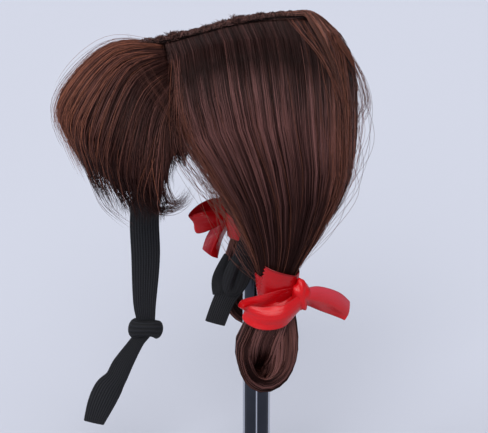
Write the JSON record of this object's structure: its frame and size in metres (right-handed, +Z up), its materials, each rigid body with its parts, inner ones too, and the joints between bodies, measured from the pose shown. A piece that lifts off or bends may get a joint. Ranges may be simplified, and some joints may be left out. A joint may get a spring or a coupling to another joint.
{
  "type": "dog wig on a stand",
  "caption": "Brown wig for a dog with a parted crown, a puffed fringe, looped pigtails tied with red ribbon and knotted elastic chin straps, on a plain pole stand.",
  "frame": {"origin": "middle of the stand base's underside, on the surface that it stands on", "axes": "+Z up along the pole, -Y towards the wig's face side, +X towards the wig's left"},
  "size_m": [0.15, 0.2104, 0.37],
  "materials": {
    "hair": "glossy straight synthetic hair, dark brown",
    "weft": "sewn weft edge with short tufts, dark brown",
    "cap_cloth": "matt dark cloth",
    "satin_ribbon": "red satin",
    "elastic": "black ribbed flat elastic",
    "chrome": "polished chrome",
    "rest_plastic": "matt black"
  },
  "bodies": {
    "root": {"stand_base": "chrome", "stand_pole": "chrome", "stand_rest": "rest_plastic", "cap": "cap_cloth", "parting_ridge": "weft", "fringe": "hair", "side_hair_left": "hair", "bun_left": "hair", "ribbon_left": "satin_ribbon", "chin_strap_left": "elastic", "side_hair_right": "hair", "bun_right": "hair", "ribbon_right": "satin_ribbon", "chin_strap_right": "elastic"}
  },
  "joints": []
}
